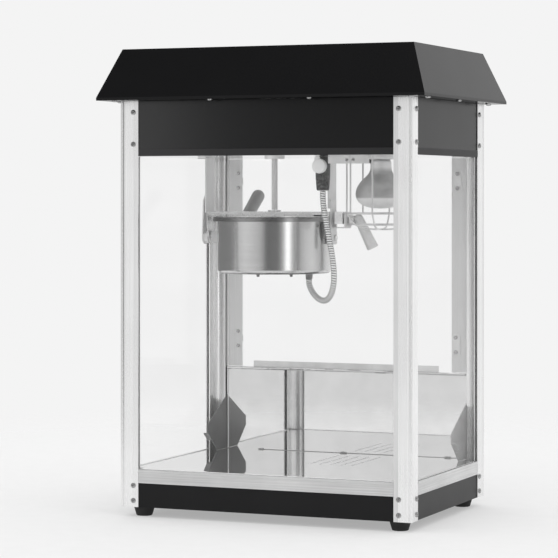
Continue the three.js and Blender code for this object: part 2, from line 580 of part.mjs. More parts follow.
// Half lids: flat half discs with a hinge barrel along the bridge's edge.
const LID_HINGE_Y = 18.8;
const LID_HINGE_Z = 474.4;
for (const [name, side] of [['lid_front', -1], ['lid_rear', 1]]) {
  const r = 102;
  const edge = Math.asin(LID_HINGE_Y / r);
  const half = new THREE.Shape();
  half.absarc(0, 0, r, edge, Math.PI - edge, false);
  const plate = raised(half, [KETTLE_RIM + 0.4, KETTLE_RIM + 1.6], 32);
  plate.rotateZ(side > 0 ? 0 : Math.PI).translate(KETTLE_X, 0, 0);
  const barrel = bar([KETTLE_X - 78, side * LID_HINGE_Y, LID_HINGE_Z],
    [KETTLE_X + 78, side * LID_HINGE_Y, LID_HINGE_Z], 1.6, 12);
  piece(name, join(plate, barrel), STAINLESS);
}

// Tipping handle on the pan's rear left, pointing back and up.
const HANDLE_X = -147.6;
const handleFoot = [HANDLE_X, 33, 428.5];
const gripStart = [HANDLE_X, 78, 460.7];
const gripEnd = [HANDLE_X, 142, 506.5];
const handleTip = new THREE.SphereGeometry(11.3, 16, 8).translate(...gripEnd);
const drum = (r, z) => turned([[0, z[0]], [r, z[0]], [r, z[1]], [0, z[1]]], KETTLE_X, 0, KETTLE_SIDES);
const handlePad = common(
  drum(KETTLE_R + 3, [418, 444]), box([HANDLE_X - 4, HANDLE_X + 16], [16, 50], [410, 450]));
piece('kettle_handle', cut(
  join(
    bar(handleFoot, gripStart, 4.5, 12),
    bar(gripStart, gripEnd, 10.2, 16, 11.3),
    handleTip,
    handlePad,
  ),
  drum(KETTLE_R + 0.4, [KETTLE_BOTTOM, KETTLE_RIM]),
), GRIP);

// ---- stirrer drive ------------------------------------------------------------------------------
piece('drive_shaft', bar([KETTLE_X, 0, SHAFT_BOTTOM], [KETTLE_X, 0, SHAFT_TOP], SHAFT_R, 24), STAINLESS);
const carriage = cut(
  bar([KETTLE_X, 0, 614], [KETTLE_X, 0, 624], 16, 28),
  bar([KETTLE_X, 0, 600], [KETTLE_X, 0, 640], SHAFT_R + 0.4, 24),
);
piece('shaft_carriage', carriage, NYLON);

const stirrer = join(
  bar([KETTLE_X, 0, PAN_FLOOR + 0.6], [KETTLE_X, 0, 482.8], 4, 20),
  bar([KETTLE_X, 0, PAN_FLOOR + 0.8], [KETTLE_X, 0, PAN_FLOOR + 14], 8, 20),
  bar([KETTLE_X - 84, 0, PAN_FLOOR + 4], [KETTLE_X + 62, 0, PAN_FLOOR + 4], 2.5, 12),
  bar([KETTLE_X + 60, 0, PAN_FLOOR + 4], [KETTLE_X + 76, 26, PAN_FLOOR + 4], 2.5, 12),
  bar([KETTLE_X - 82, 0, PAN_FLOOR + 4], [KETTLE_X - 82, 0, PAN_FLOOR + 24], 2.5, 12),
);
piece('stirrer', stirrer, STAINLESS);

// ---- heater lead --------------------------------------------------------------------------------
// Locking plug under the ceiling, its round locking knob, and the flexible conduit to the gland.
const PLUG_BOTTOM = 516;
const PLUG_HALF = 10.5;
const PLUG_FLAT = 7.5; // half of a face between the chamfered corners
const plugSection = outline([[-1, -1], [1, -1], [1, 1], [-1, 1]].flatMap(([sx, sy]) => {
  const along = [PLUG_X + sx * PLUG_FLAT, PLUG_Y + sy * PLUG_HALF];
  const beside = [PLUG_X + sx * PLUG_HALF, PLUG_Y + sy * PLUG_FLAT];
  return sx * sy > 0 ? [beside, along] : [along, beside];
}));
const plugBody = join(
  raised(plugSection, [PLUG_BOTTOM + 14, CEILING_Z - 0.4]),
  bar([PLUG_X, PLUG_Y, PLUG_BOTTOM], [PLUG_X, PLUG_Y, PLUG_BOTTOM + 15], 9.8, 24, 10.4),
);
piece('heater_plug', plugBody, DARK_PLASTIC);
const KNOB = [PLUG_X + 1.4, 556];
const knobFace = PLUG_Y - PLUG_HALF - GAP;
piece('plug_knob', join(
  bar([KNOB[0], knobFace, KNOB[1]], [KNOB[0], knobFace - 4, KNOB[1]], 6, 24),
  bar([KNOB[0], knobFace - 3.5, KNOB[1]], [KNOB[0], knobFace - 12.5, KNOB[1]], 12, 28),
), ALUMINIUM);

// Hand-set route: down beside the kettle, one loose loop under it, and up into the gland.
const CONDUIT_ROUTE = [
  [PLUG_X, PLUG_Y, PLUG_BOTTOM - 0.4], [PLUG_X, PLUG_Y, 506], [48.4, -40, 489], [52.4, -40.6, 467],
  [58.6, -42, 438], [64.8, -43.5, 409], [68, -44, 382], [66.2, -41.5, 361], [58.8, -36, 344],
  [47, -28.5, 335.5], [33.4, -20, 336.5], [20.5, -12.5, 344], [11.6, -7.3, 354.5],
  [GLAND[0], GLAND[1], 362.5], [GLAND[0], GLAND[1], 368.1],
];
const conduitCurve = new THREE.CatmullRomCurve3(CONDUIT_ROUTE.map((p) => new THREE.Vector3(...p)));
const conduitSection = new THREE.Shape();
conduitSection.absarc(0, 0, CONDUIT_R, 0, 2 * Math.PI, false);
piece('heater_conduit', new THREE.ExtrudeGeometry(conduitSection, {
  steps: 20, extrudePath: conduitCurve, curveSegments: 8, bevelEnabled: false,
}), STAINLESS);

// ---- warming lamp -------------------------------------------------------------------------------
const SOCKET_Z = [566.4, 604];
const ARM_X = [69, LAMP_X - 15.6];
const ARM_HALF = 12;
const ARM_BOTTOM = 560;
const lampBracket = join(
  box([ARM_X[0], ARM_X[1] - 2.4], [LAMP_Y - ARM_HALF, LAMP_Y + ARM_HALF],
    [ARM_BOTTOM, ARM_BOTTOM + 1.5]),
  box(ARM_X, [LAMP_Y - ARM_HALF, LAMP_Y - ARM_HALF + 1.5], [ARM_BOTTOM, CEILING_Z - 0.4]),
  box(ARM_X, [LAMP_Y + ARM_HALF - 1.5, LAMP_Y + ARM_HALF], [ARM_BOTTOM, CEILING_Z - 0.4]),
);
piece('lamp_bracket', cut(
  join(lampBracket, bar([LAMP_X, LAMP_Y, SOCKET_Z[0]], [LAMP_X, LAMP_Y, SOCKET_Z[1]], SOCKET_R, 36)),
  bar([LAMP_X, LAMP_Y, SOCKET_Z[0] - 8], [LAMP_X, LAMP_Y, SOCKET_Z[1] - 3], SOCKET_R - 2, 36),
), ALUMINIUM);

function bulbProfile() {
  const points = [[0, 487], [16, 488.2], [28, 491.5]];
  const bowl = [[36, 497], [40.2, 504.5], [41, 512], [38.5, 521], [33, 529.5], [25.5, 537], [19.5, 543]];
  for (const [r, z] of bowl) {
    points.push([r, z]);
  }
  points.push([17.2, 550], [17, 562], [13.5, 568], [13.5, 590], [5, 596], [0, 596]);
  return points;
}
piece('lamp_bulb', turned(bulbProfile(), LAMP_X, LAMP_Y, 20), BULB);

// Wire guard: hangs from the ceiling on eight wires, two of which cross under the bulb as hoops.
function lampGuard() {
  const wire = 1.4;
  const topZ = 479;
  const lowR = 42;
  const lowZ = 461;
  const hoopZ = 453.5;
  const firstWire = -173.5; // degrees from +X
  const ring = (r, z) => new THREE.TorusGeometry(r, wire, 5, 24).translate(LAMP_X, LAMP_Y, z);
  const at = (r, angle, z) => [LAMP_X + r * Math.cos(angle), LAMP_Y + r * Math.sin(angle), z];
  const parts = [ring(GUARD_R, topZ), ring(lowR, lowZ)];
  for (let i = 0; i < 8; i += 1) {
    const angle = THREE.MathUtils.degToRad(firstWire + 45 * i);
    const top = i === 0 ? ARM_BOTTOM - GAP : CEILING_Z - 0.4; // the first wire ends under the arm
    parts.push(bar(at(GUARD_R, angle, topZ - wire), at(GUARD_R, angle, top), wire, 5));
  }
  for (const start of [firstWire, firstWire + 90]) {
    const a = THREE.MathUtils.degToRad(start);
    const b = a + Math.PI;
    const steps = [at(GUARD_R, a, topZ), at(lowR, a, lowZ), at(20, a, hoopZ + 1), at(0, a, hoopZ),
      at(20, b, hoopZ + 1), at(lowR, b, lowZ), at(GUARD_R, b, topZ)];
    for (let i = 1; i < steps.length; i += 1) {
      parts.push(bar(steps[i - 1], steps[i], wire, 5));
      parts.push(new THREE.IcosahedronGeometry(wire, 0).translate(...steps[i]));
    }
  }
  return join(...parts);
}
piece('lamp_guard', lampGuard(), STAINLESS);

// ---- crumb drawer -------------------------------------------------------------------------------
const drawerBody = box(DRAWER_X, DRAWER_Y, DRAWER_Z);
const drawerSpace = box([DRAWER_X[0] + SHEET, DRAWER_X[1] - SHEET], [DRAWER_Y[0] + SHEET, PANEL_Y - SHEET],
  [DRAWER_Z[0] + SHEET, DRAWER_Z[1] + 5]);
const drawerFront = box([DRAWER_X[0] - 6, DRAWER_X[1] + 6], [PANEL_Y + GAP, PANEL_Y + GAP + 1.5],
  [DRAWER_Z[0] - 2, DRAWER_Z[1] + 3]);
const pull = outline([
  [PANEL_Y + 1, 26], [PANEL_Y + 18, 26], [PANEL_Y + 20, 24], [PANEL_Y + 20, 18], [PANEL_Y + 18.4, 18],
  [PANEL_Y + 18.4, 23.4], [PANEL_Y + 17.4, 24.4], [PANEL_Y + 1, 24.4],
]);
piece('crumb_drawer', join(cut(drawerBody, drawerSpace), drawerFront, across(pull, [11, 71])), STAINLESS);

export default machine;
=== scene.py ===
import math

import bmesh
import bpy
from mathutils import Matrix, Vector


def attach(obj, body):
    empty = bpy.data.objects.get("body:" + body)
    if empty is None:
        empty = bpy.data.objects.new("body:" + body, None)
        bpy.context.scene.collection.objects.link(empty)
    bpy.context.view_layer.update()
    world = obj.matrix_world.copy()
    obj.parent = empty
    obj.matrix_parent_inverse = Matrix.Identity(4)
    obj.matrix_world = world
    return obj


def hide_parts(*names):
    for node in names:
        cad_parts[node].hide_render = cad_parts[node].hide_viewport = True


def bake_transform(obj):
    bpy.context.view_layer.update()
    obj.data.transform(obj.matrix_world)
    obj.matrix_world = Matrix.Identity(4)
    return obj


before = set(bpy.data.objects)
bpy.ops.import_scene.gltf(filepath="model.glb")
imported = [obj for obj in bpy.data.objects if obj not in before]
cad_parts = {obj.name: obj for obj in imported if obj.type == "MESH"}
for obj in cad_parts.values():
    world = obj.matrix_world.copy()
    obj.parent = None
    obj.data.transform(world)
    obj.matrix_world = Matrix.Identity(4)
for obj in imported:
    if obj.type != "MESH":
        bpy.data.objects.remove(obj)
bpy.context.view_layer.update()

MM = 0.001
scene = bpy.context.scene

# Shared sizes, in millimetres.
FOOT_H = 16.0  # the posts stand this far above the floor
FOOT_X, FOOT_Y = 223.0, 153.0
HALF_W, HALF_D = 253.0, 181.5  # half the distance across the posts
FACE_IN = 1.2  # a post's flat face lies this far behind its bead
PANEL_Y = 178.2  # outer face of the front and rear panels
HINGE_X, HINGE_Y = 199.0, 182.0
EAVES_Z = 662.5
CEILING_Z = 572.0  # underside of the header box
DECK_Z = 61.3  # upper face of the popping deck
KETTLE_X = -56.0  # axis of the kettle, its stirrer and the drive shaft
GLAND = (8.5, -5.5)  # where the conduit enters the kettle


def at(x, y, z):
    """A point given in millimetres, its height counted from the bottom of the posts."""
    return Vector((x * MM, y * MM, (z + FOOT_H) * MM))


# ---- camera ---------------------------------------------------------------------------------------
camera_data = bpy.data.cameras.new("camera")
camera = bpy.data.objects.new("camera", camera_data)
scene.collection.objects.link(camera)
camera.location = (1.4783, -3.6102, 0.5283)
camera.rotation_euler = (math.pi / 2, 0, 0.4)
camera_data.lens = 151.27
camera_data.shift_y = -0.1544
scene.camera = camera
scene.view_settings.view_transform = "Standard"


# ---- materials ------------------------------------------------------------------------------------
def grey(level):
    """A display level from 0 to 255 as a linear colour."""
    value = level / 255
    linear = value / 12.92 if value <= 0.04045 else ((value + 0.055) / 1.055) ** 2.4
    return (linear, linear, linear, 1)


def tint(red, green, blue):
    return (grey(red)[0], grey(green)[0], grey(blue)[0], 1)


def add(tree, kind, inputs=None, **settings):
    """A new shader node; an input is a number, a colour or the socket it is linked from."""
    node = tree.nodes.new("ShaderNode" + kind)
    for key, value in settings.items():
        setattr(node, key, value)
    for key, value in (inputs or {}).items():
        if isinstance(value, bpy.types.NodeSocket):
            tree.links.new(value, node.inputs[key])
        else:
            node.inputs[key].default_value = value
    return node


def new_material(name):
    material = bpy.data.materials.new(name)
    material.use_nodes = True
    tree = material.node_tree
    return material, tree, tree.nodes["Principled BSDF"]


def spread(tree, value, low, high, source=(0.32, 0.68)):
    """A noise value stretched to run from low to high."""
    return add(tree, "MapRange", {
        "Value": value, "From Min": source[0], "From Max": source[1], "To Min": low, "To Max": high,
    }).outputs[0]


def noise(tree, vector, scale=1.0, detail=3.0, grain=None):
    if grain:
        vector = add(tree, "Mapping", {"Vector": vector, "Scale": grain}).outputs[0]
    return add(tree, "TexNoise", {"Vector": vector, "Scale": scale, "Detail": detail}).outputs[0]


def finish(name, dark, pale, rough, metal=0.0, grain=(900, 900, 900), relief=0.004, blotch=14,
           smudge=0.35, **fixed):
    """A finish whose colour, roughness and relief follow a fine grain and broad blotches.

    grain is cycles per metre along X, Y and Z, and relief is in millimetres.
    """
    material, tree, surface = new_material(name)
    place = add(tree, "TexCoord").outputs["Object"]
    fine = noise(tree, place, detail=4.0, grain=grain)
    broad = noise(tree, place, scale=blotch)
    share = add(tree, "Mix", {"Factor": smudge, "A": fine, "B": broad}).outputs[0]
    colour = add(tree, "MixRGB", {"Fac": spread(tree, share, 0, 1), "Color1": dark, "Color2": pale})
    tree.links.new(colour.outputs[0], surface.inputs["Base Color"])
    tree.links.new(spread(tree, share, rough[1], rough[0]), surface.inputs["Roughness"])
    bump = add(tree, "Bump", {"Height": fine, "Distance": relief * MM, "Strength": 1.0})
    tree.links.new(bump.outputs[0], surface.inputs["Normal"])
    surface.inputs["Metallic"].default_value = metal
    for key, value in fixed.items():
        surface.inputs[key.replace("_", " ")].default_value = value
    return material


def pane(name, tone, gloss, streak):
    """Clear sheet seen through from both sides; its mirror share grows towards grazing views."""
    material, tree, surface = new_material(name)
    tree.nodes.remove(surface)
    place = add(tree, "TexCoord").outputs["Object"]
    haze = noise(tree, place, grain=streak)
    tone_mix = add(tree, "MixRGB", {
        "Fac": spread(tree, haze, 0, 1), "Color1": grey(tone[0]), "Color2": grey(tone[1])})
    clear = add(tree, "BsdfTransparent", {"Color": tone_mix.outputs[0]})
    shine = add(tree, "BsdfGlossy", {"Color": grey(245), "Roughness": 0.02})
    grazing = add(tree, "LayerWeight", {"Blend": 0.5}).outputs["Facing"]
    steep = add(tree, "Math", {0: grazing, 1: 6.0}, operation="POWER").outputs[0]
    share = add(tree, "MapRange", {"Value": steep, "To Min": gloss, "To Max": 0.6}).outputs[0]
    both = add(tree, "MixShader", {0: share, 1: clear.outputs[0], 2: shine.outputs[0]})
    tree.links.new(both.outputs[0], tree.nodes["Material Output"].inputs["Surface"])
    return material


BRUSH_Z = (700, 700, 6)  # streaks that run upwards
BRUSH_X = (6, 900, 900)
BRUSH_Y = (900, 6, 900)
ENAMEL = (1600, 1600, 1600)
BLACK = finish("black_enamel", tint(11, 11, 12), tint(17, 17, 18), (0.2, 0.26), grain=ENAMEL, relief=0.005,
               blotch=9, Specular_IOR_Level=0.16)
# Painted sheen: the header's black enamel made lighter for the trim strip, standing in for the floor it
# mirrors.
TRIM_SHEEN = finish("black_trim_painted_sheen", tint(26, 26, 27), tint(34, 34, 35), (0.4, 0.5), grain=ENAMEL, relief=0.005,
              blotch=9, Specular_IOR_Level=0.2)
# Painted light: the same black enamel made lighter on the base box, standing in for the brighter light the base
# catches.
LIT_BASE_ENAMEL = finish("base_enamel_painted_light", tint(17, 17, 18), tint(24, 24, 25), (0.3, 0.38), grain=ENAMEL, relief=0.005,
              blotch=9, Specular_IOR_Level=0.18)
POST = finish("brushed_aluminium", grey(236), grey(248), (0.22, 0.3), 0.92, BRUSH_Z, 0.0006)
# Painted shade: a darker copy of the post aluminium for the face that turns away from the light.
POST_EDGE_SHADE = finish("post_edge_painted_shade", grey(214), grey(228), (0.3, 0.38), 0.9, BRUSH_Z, 0.0006)
REAR_POST = finish("rear_post_aluminium", grey(230), grey(244), (0.24, 0.34), 0.85, BRUSH_Z, 0.001)
RAIL_X = finish("brushed_aluminium_x", grey(194), grey(224), (0.3, 0.45), 0.9, BRUSH_X, 0.004)
RAIL_Y = finish("brushed_aluminium_y", grey(194), grey(224), (0.3, 0.45), 0.9, BRUSH_Y, 0.004)
JAMB = finish("jamb_aluminium", grey(204), grey(218), (0.4, 0.5), 0.35, BRUSH_Z, 0.002)
SHEET = finish("stainless", grey(212), grey(222), (0.24, 0.3), 0.85, (60, 60, 20), 0.0003)
SATIN = finish("satin_stainless", grey(206), grey(220), (0.4, 0.5), 0.15, (60, 60, 20), 0.0003)
BACK = finish("back_steel", grey(230), grey(240), (0.015, 0.035), 0.95, (30, 30, 30), 0.002, blotch=5)
JOINT = finish("deck_joint", grey(176), grey(192), (0.4, 0.5), 0.3, (900, 900, 900), 0.002)
MIRROR = finish("mirror_steel", grey(248), grey(253), (0.02, 0.04), 1.0, (30, 30, 30), 0.002, blotch=5)
# The two corner deflectors are one steel in lit and shaded copies: the left one is painted shade, the right one
# painted light.
SHADED_DEFLECTOR = finish("deflector_steel_painted_shade", grey(132), grey(148), (0.3, 0.42), 0.6, (60, 700, 60), 0.003)
LIT_DEFLECTOR = finish("deflector_steel_painted_light", grey(172), grey(188), (0.3, 0.42), 0.5, (60, 700, 60), 0.003)
KETTLE = finish("kettle_steel", grey(196), grey(214), (0.15, 0.2), 1.0, (4, 4, 2600), 0.0008)
# Painted shade: the kettle steel made darker, standing in for the dark that the pan's rolled collar mirrors.
COLLAR_SHADE = finish("kettle_collar_painted_shade", grey(138), grey(154), (0.22, 0.3), 1.0, (4, 4, 2600), 0.0008)
SHAFT = finish("turned_shaft", grey(206), grey(218), (0.4, 0.5), 0.1, (300, 300, 2000), 0.001)
ZINC = finish("zinc_screw", grey(150), grey(200), (0.16, 0.3), 1.0, (1500, 1500, 1500), 0.004)
FITTING = finish("kettle_fitting", grey(126), grey(150), (0.34, 0.46), 0.5, (1500, 1500, 1500), 0.004)
MOTOR = finish("motor_steel", grey(110), grey(140), (0.4, 0.55), 0.8, (400, 400, 400), 0.01)
NYLON = finish("nylon", grey(226), grey(240), (0.4, 0.55), grain=(1200, 1200, 1200), relief=0.006)
DARK_GRIP = finish("dark_grip", grey(136), grey(164), (0.36, 0.5), grain=(1800, 1800, 1800), relief=0.02)
GREY_GRIP = finish("grey_grip", grey(188), grey(206), (0.45, 0.6), grain=(1800, 1800, 1800), relief=0.02)
PLASTIC = finish("dark_plastic", grey(34), grey(104), (0.42, 0.62), grain=(300, 300, 300), relief=0.06,
                 smudge=0.15)
# A grey matt for painted shade and painted light: strips standing in for the shaded ends of the posts' legs,
# and lighter rail faces in place of dark reflections and gap shade.
SHADE_AND_LIGHT_GREY = finish("painted_shade_and_light_grey", grey(176), grey(192), (0.6, 0.75), grain=(900, 900, 900), relief=0.02)
# Painted light: a pale matt laid over recesses and gaps that would fall into shade, and where a soft highlight
# shows.
PAINTED_LIGHT_MATT = finish("painted_light_matt", grey(244), grey(250), (0.5, 0.6), 0.0, BRUSH_Z, 0.002)
KNOB = finish("silver_knob", grey(222), grey(236), (0.4, 0.5), 0.2, (900, 900, 900), 0.006)
# Painted shade: a darker grey for the recesses between the conduit's turns.
GROOVE_SHADE = finish("conduit_groove_painted_shade", grey(112), grey(134), (0.4, 0.5), 0.3, (1200, 1200, 1200), 0.004)
RUBBER = finish("rubber_foot", grey(14), grey(30), (0.6, 0.8), grain=(1500, 1500, 1500), relief=0.03)
SWITCH = finish("switch_black", grey(16), grey(28), (0.3, 0.42), grain=(1500, 1500, 1500), relief=0.01)
WIRE = finish("guard_wire", grey(204), grey(228), (0.28, 0.4), 0.6, (900, 900, 900), 0.003)
GLASS = pane("tempered_glass", (254, 255), 0.006, (3, 3, 12))
ACRYLIC = pane("acrylic_door", (254, 255), 0.006, (5, 5, 5))


def conduit_material():
    """Wound steel strip whose sides are painted darker than its middle: painted shade towards the silhouette.
    """
    material, tree, surface = new_material("flex_conduit")
    place = add(tree, "TexCoord").outputs["Object"]
    scratches = noise(tree, place, grain=(1200, 1200, 1200))
    middle = add(tree, "MixRGB", {
        "Fac": spread(tree, scratches, 0, 1), "Color1": grey(224), "Color2": grey(244)}).outputs[0]
    side = add(tree, "LayerWeight", {"Blend": 0.5}).outputs["Facing"]
    side_shade = add(tree, "MapRange", {"Value": side, "From Min": 0.25, "From Max": 0.85}).outputs[0]
    # Painted shade: the colour turns to dark grey where the tube is seen edge-on.
    colour = add(tree, "MixRGB", {"Fac": side_shade, "Color1": middle, "Color2": grey(126)})
    tree.links.new(colour.outputs[0], surface.inputs["Base Color"])
    tree.links.new(spread(tree, scratches, 0.42, 0.28), surface.inputs["Roughness"])
    surface.inputs["Metallic"].default_value = 0.3
    return material


def bulb_material():
    """Silvered reflector bulb: a pale neck, a darker coated shoulder and a frosted face below it."""
    material, tree, surface = new_material("bulb_glass")
    place = add(tree, "TexCoord").outputs["Object"]
    height = add(tree, "SeparateXYZ", {0: place}).outputs["Z"]
    edge = (504 + FOOT_H) * MM
    neck = (550 + FOOT_H) * MM
    coated = add(tree, "MapRange", {
        "Value": height, "From Min": edge - 0.0012, "From Max": edge + 0.0012}).outputs[0]
    above = add(tree, "MapRange", {
        "Value": height, "From Min": neck - 0.004, "From Max": neck + 0.004}).outputs[0]
    mottle = noise(tree, place, scale=60)
    shoulder = add(tree, "MixRGB", {
        "Fac": spread(tree, mottle, 0, 1), "Color1": grey(160), "Color2": grey(176)}).outputs[0]
    coat = add(tree, "MixRGB", {"Fac": above, "Color1": shoulder, "Color2": grey(214)}).outputs[0]
    frost = add(tree, "MixRGB", {
        "Fac": spread(tree, mottle, 0, 1), "Color1": grey(204), "Color2": grey(216)}).outputs[0]
    colour = add(tree, "MixRGB", {"Fac": coated, "Color1": frost, "Color2": coat}).outputs[0]
    tree.links.new(colour, surface.inputs["Base Color"])
    tree.links.new(spread(tree, coated, 0.5, 0.42, (0, 1)), surface.inputs["Roughness"])
    tree.links.new(spread(tree, coated, 0.0, 0.35, (0, 1)), surface.inputs["Metallic"])
    return material


BULB = bulb_material()
CONDUIT = conduit_material()


# ---- mesh helpers ---------------------------------------------------------------------------------
def upright(x, y, z):
    """Places a profile drawn in millimetres at a point, its axis up."""
    return Matrix.Translation(at(x, y, z)) @ Matrix.Scale(MM, 4)


FRONT = (0, -1, 0)  # towards the customer
DOWN = (0, 0, -1)


def facing(origin, direction):
    """Places a profile drawn in millimetres at a point, its axis along direction."""
    turn = Vector(direction).to_track_quat("Z", "Y").to_matrix().to_4x4()
    return Matrix.Translation(at(*origin)) @ turn @ Matrix.Scale(MM, 4)


def lathe(bm, profile, place, sides=64, bend=None):
    """Turns (radius, height) points about an axis; bend changes a point before it is placed."""
    rows = []
    for radius, height in profile:
        count = sides if radius > 0 else 1
        row = []
        for k in range(count):
            angle = 2 * math.pi * k / count
            point = Vector((radius * math.cos(angle), radius * math.sin(angle), height))
            row.append(bm.verts.new(place @ (bend(point, k) if bend else point)))
        rows.append(row)
    for a, b in zip(rows, rows[1:]):
        for k in range(sides):
            j = (k + 1) % sides
            corners = [a[k % len(a)], a[j % len(a)], b[j % len(b)], b[k % len(b)]]
            corners = list(dict.fromkeys(corners))
            if len(corners) > 2:
                bm.faces.new(corners)


def closed_lathe(bm, profile, place, sides=64):
    """Turns a closed profile that stays clear of the axis, such as a ring's."""
    lathe(bm, profile + profile[:1], place, sides)
    bmesh.ops.remove_doubles(bm, verts=bm.verts, dist=1e-7)


def skin(bm, rings, closed=False):
    """Joins rings of points into one skin, with caps unless it closes on itself."""
    rows = [[bm.verts.new(p) for p in ring] for ring in rings]
    pairs = list(zip(rows, rows[1:]))
    if closed:
        pairs.append((rows[-1], rows[0]))
    count = len(rows[0])
    for a, b in pairs:
        for k in range(count):
            j = (k + 1) % count
            bm.faces.new((a[k], a[j], b[j], b[k]))
    if not closed:
        bm.faces.new(list(reversed(rows[0])))
        bm.faces.new(rows[-1])


def smooth_line(points, steps):
    """A smooth line through the points: a centripetal Catmull-Rom spline."""
    points = [Vector(p) for p in points]
    ends = [points[0] * 2 - points[1]] + points + [points[-1] * 2 - points[-2]]
    line = []
    for p0, p1, p2, p3 in zip(ends, ends[1:], ends[2:], ends[3:]):
        t1 = (p1 - p0).length ** 0.5
        t2 = t1 + (p2 - p1).length ** 0.5
        t3 = t2 + (p3 - p2).length ** 0.5
        for i in range(steps):
            t = t1 + (t2 - t1) * i / steps
            a1 = p0 + (p1 - p0) * (t / t1)
            a2 = p1 + (p2 - p1) * ((t - t1) / (t2 - t1))
            a3 = p2 + (p3 - p2) * ((t - t2) / (t3 - t2))
            b1 = a1 + (a2 - a1) * (t / t2)
            b2 = a2 + (a3 - a2) * ((t - t1) / (t3 - t1))
            line.append(b1 + (b2 - b1) * ((t - t1) / (t2 - t1)))
    return line + [points[-1]]


def even(line, gap):
    """The same line with points the same small distance apart."""
    lengths = [0.0]
    for a, b in zip(line, line[1:]):
        lengths.append(lengths[-1] + (b - a).length)
    count = max(2, round(lengths[-1] / gap))
    points = []
    k = 0
    for i in range(count + 1):
        goal = lengths[-1] * i / count
        while k < len(line) - 2 and lengths[k + 1] < goal:
            k += 1
        share = (goal - lengths[k]) / (lengths[k + 1] - lengths[k])
        points.append(line[k].lerp(line[k + 1], share))
    return points


def sweep(bm, line, radius, sides=12, closed=False):
    """A round tube along a line; radius is a number or a function of (point number, angle)."""
    count = len(line)
    side = None
    rings = []
    for i, point in enumerate(line):
        ahead = line[(i + 1) % count] if closed else line[min(i + 1, count - 1)]
        behind = line[i - 1] if closed else line[max(i - 1, 0)]
        forward = (ahead - behind).normalized()
        if side is None:
            side = forward.orthogonal().normalized()
        side = (side - forward * side.dot(forward)).normalized()
        other = forward.cross(side)
        ring = []
        for k in range(sides):
            angle = 2 * math.pi * k / sides
            r = radius(i, angle) if callable(radius) else radius
            ring.append(point + (side * math.cos(angle) + other * math.sin(angle)) * r)
        rings.append(ring)
    skin(bm, rings, closed)


def circle(x, y, z, radius, count=96):
    angles = [2 * math.pi * k / count for k in range(count)]
    return [at(x + radius * math.cos(a), y + radius * math.sin(a), z) for a in angles]


def block(bm, x, y, z):
    """A plain box between pairs of limits; its edges are rounded by the piece's bevel."""
    corners = [bm.verts.new(at(a, b, c)) for a in x for b in y for c in z]
    for face in ((0, 1, 3, 2), (4, 6, 7, 5), (0, 4, 5, 1), (2, 3, 7, 6), (0, 2, 6, 4), (1, 5, 7, 3)):
        bm.faces.new([corners[i] for i in face])


def plate(bm, outline, place, thickness):
    """A flat plate from an outline of (u, v) points, raised along the placing matrix's axis."""
    skin(bm, [[place @ Vector((u, v, h)) for u, v in outline] for h in (0, thickness)])


def rounded(width, height, radius, steps=4):
    """The outline of a rectangle with round corners, about its centre."""
    points = []
    for i, (sx, sy) in enumerate(((1, 1), (-1, 1), (-1, -1), (1, -1))):
        for k in range(steps + 1):
            angle = math.pi / 2 * (i + k / steps)
            points.append((sx * (width / 2 - radius) + radius * math.cos(angle),
                           sy * (height / 2 - radius) + radius * math.sin(angle)))
    return points


def pan_head(bm, place, r=4.25, h=2.2):
    """A pan-head screw's head with a cross recess."""
    profile = [(0, 0), (r, 0), (r, 0.35 * h), (0.93 * r, 0.64 * h), (0.78 * r, 0.86 * h), (0.6 * r, 0.97 * h),
               (0.48 * r, h), (0.2 * r, h), (0, h)]

    def recess(point, k):
        reach = math.hypot(point.x, point.y)
        if point.z > 0.99 * h and (reach < 0.01 * r or k % 4 == 0):
            point.z -= 0.5 * h
        return point

    lathe(bm, profile, place, 16, recess)


def slot_head(bm, place, r=5, h=1.8):
    """A cheese-head screw's head with a slot."""
    profile = [(0, 0), (r, 0), (r, 0.8 * h), (0.92 * r, h), (0.5 * r, h), (0, h)]

    def recess(point, k):
        if point.z > 0.95 * h and abs(point.y) < 0.13 * r and abs(point.x) < 0.96 * r:
            point.z -= 0.5 * h
        return point

    lathe(bm, profile, place, 32, recess)


def hex_nut(bm, place, r=3.6, h=2.6):
    lathe(bm, [(0, 0), (r, 0), (r, 0.85 * h), (0.9 * r, h), (0, h)], place, 6)


def piece(name, bm, material, body, replaces=(), bevel=0.0, angle=35):
    """Ends a mesh and puts it in the scene on a CAD body."""
    bmesh.ops.recalc_face_normals(bm, faces=bm.faces)
    mesh = bpy.data.meshes.new(name)
    bm.to_mesh(mesh)
    bm.free()
    mesh.polygons.foreach_set("use_smooth", [True] * len(mesh.polygons))
    mesh.set_sharp_from_angle(angle=math.radians(angle))
    obj = bpy.data.objects.new(name, mesh)
    scene.collection.objects.link(obj)
    obj.data.materials.append(material)
    if bevel:
        soften(obj, bevel)
    if body:
        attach(obj, body)
    if replaces:
        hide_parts(*replaces)
    return obj


def soften(obj, width, segments=2):
    """Rounds an object's sharp edges by a width in millimetres."""
    bevel = obj.modifiers.new("edges", "BEVEL")
    bevel.width = width * MM
    bevel.segments = segments
    bevel.limit_method = "ANGLE"
    bevel.angle_limit = math.radians(40)
    bevel.harden_normals = True


# ---- heater conduit -------------------------------------------------------------------------------
CONDUIT_ROUTE = [
    (47, -40, 515.6), (47, -40, 506), (48.4, -40, 489), (52.4, -40.6, 467), (58.6, -42, 438),
    (64.8, -43.5, 409), (68, -44, 382), (66.2, -41.5, 361), (58.8, -36, 344), (47, -28.5, 335.5),
    (33.4, -20, 336.5), (20.5, -12.5, 344), (11.6, -7.3, 354.5), (*GLAND, 362.5), (*GLAND, 368.1),
]
CONDUIT_D = 10.0
CONDUIT_PITCH = 4.0  # between the turns of its wound strip


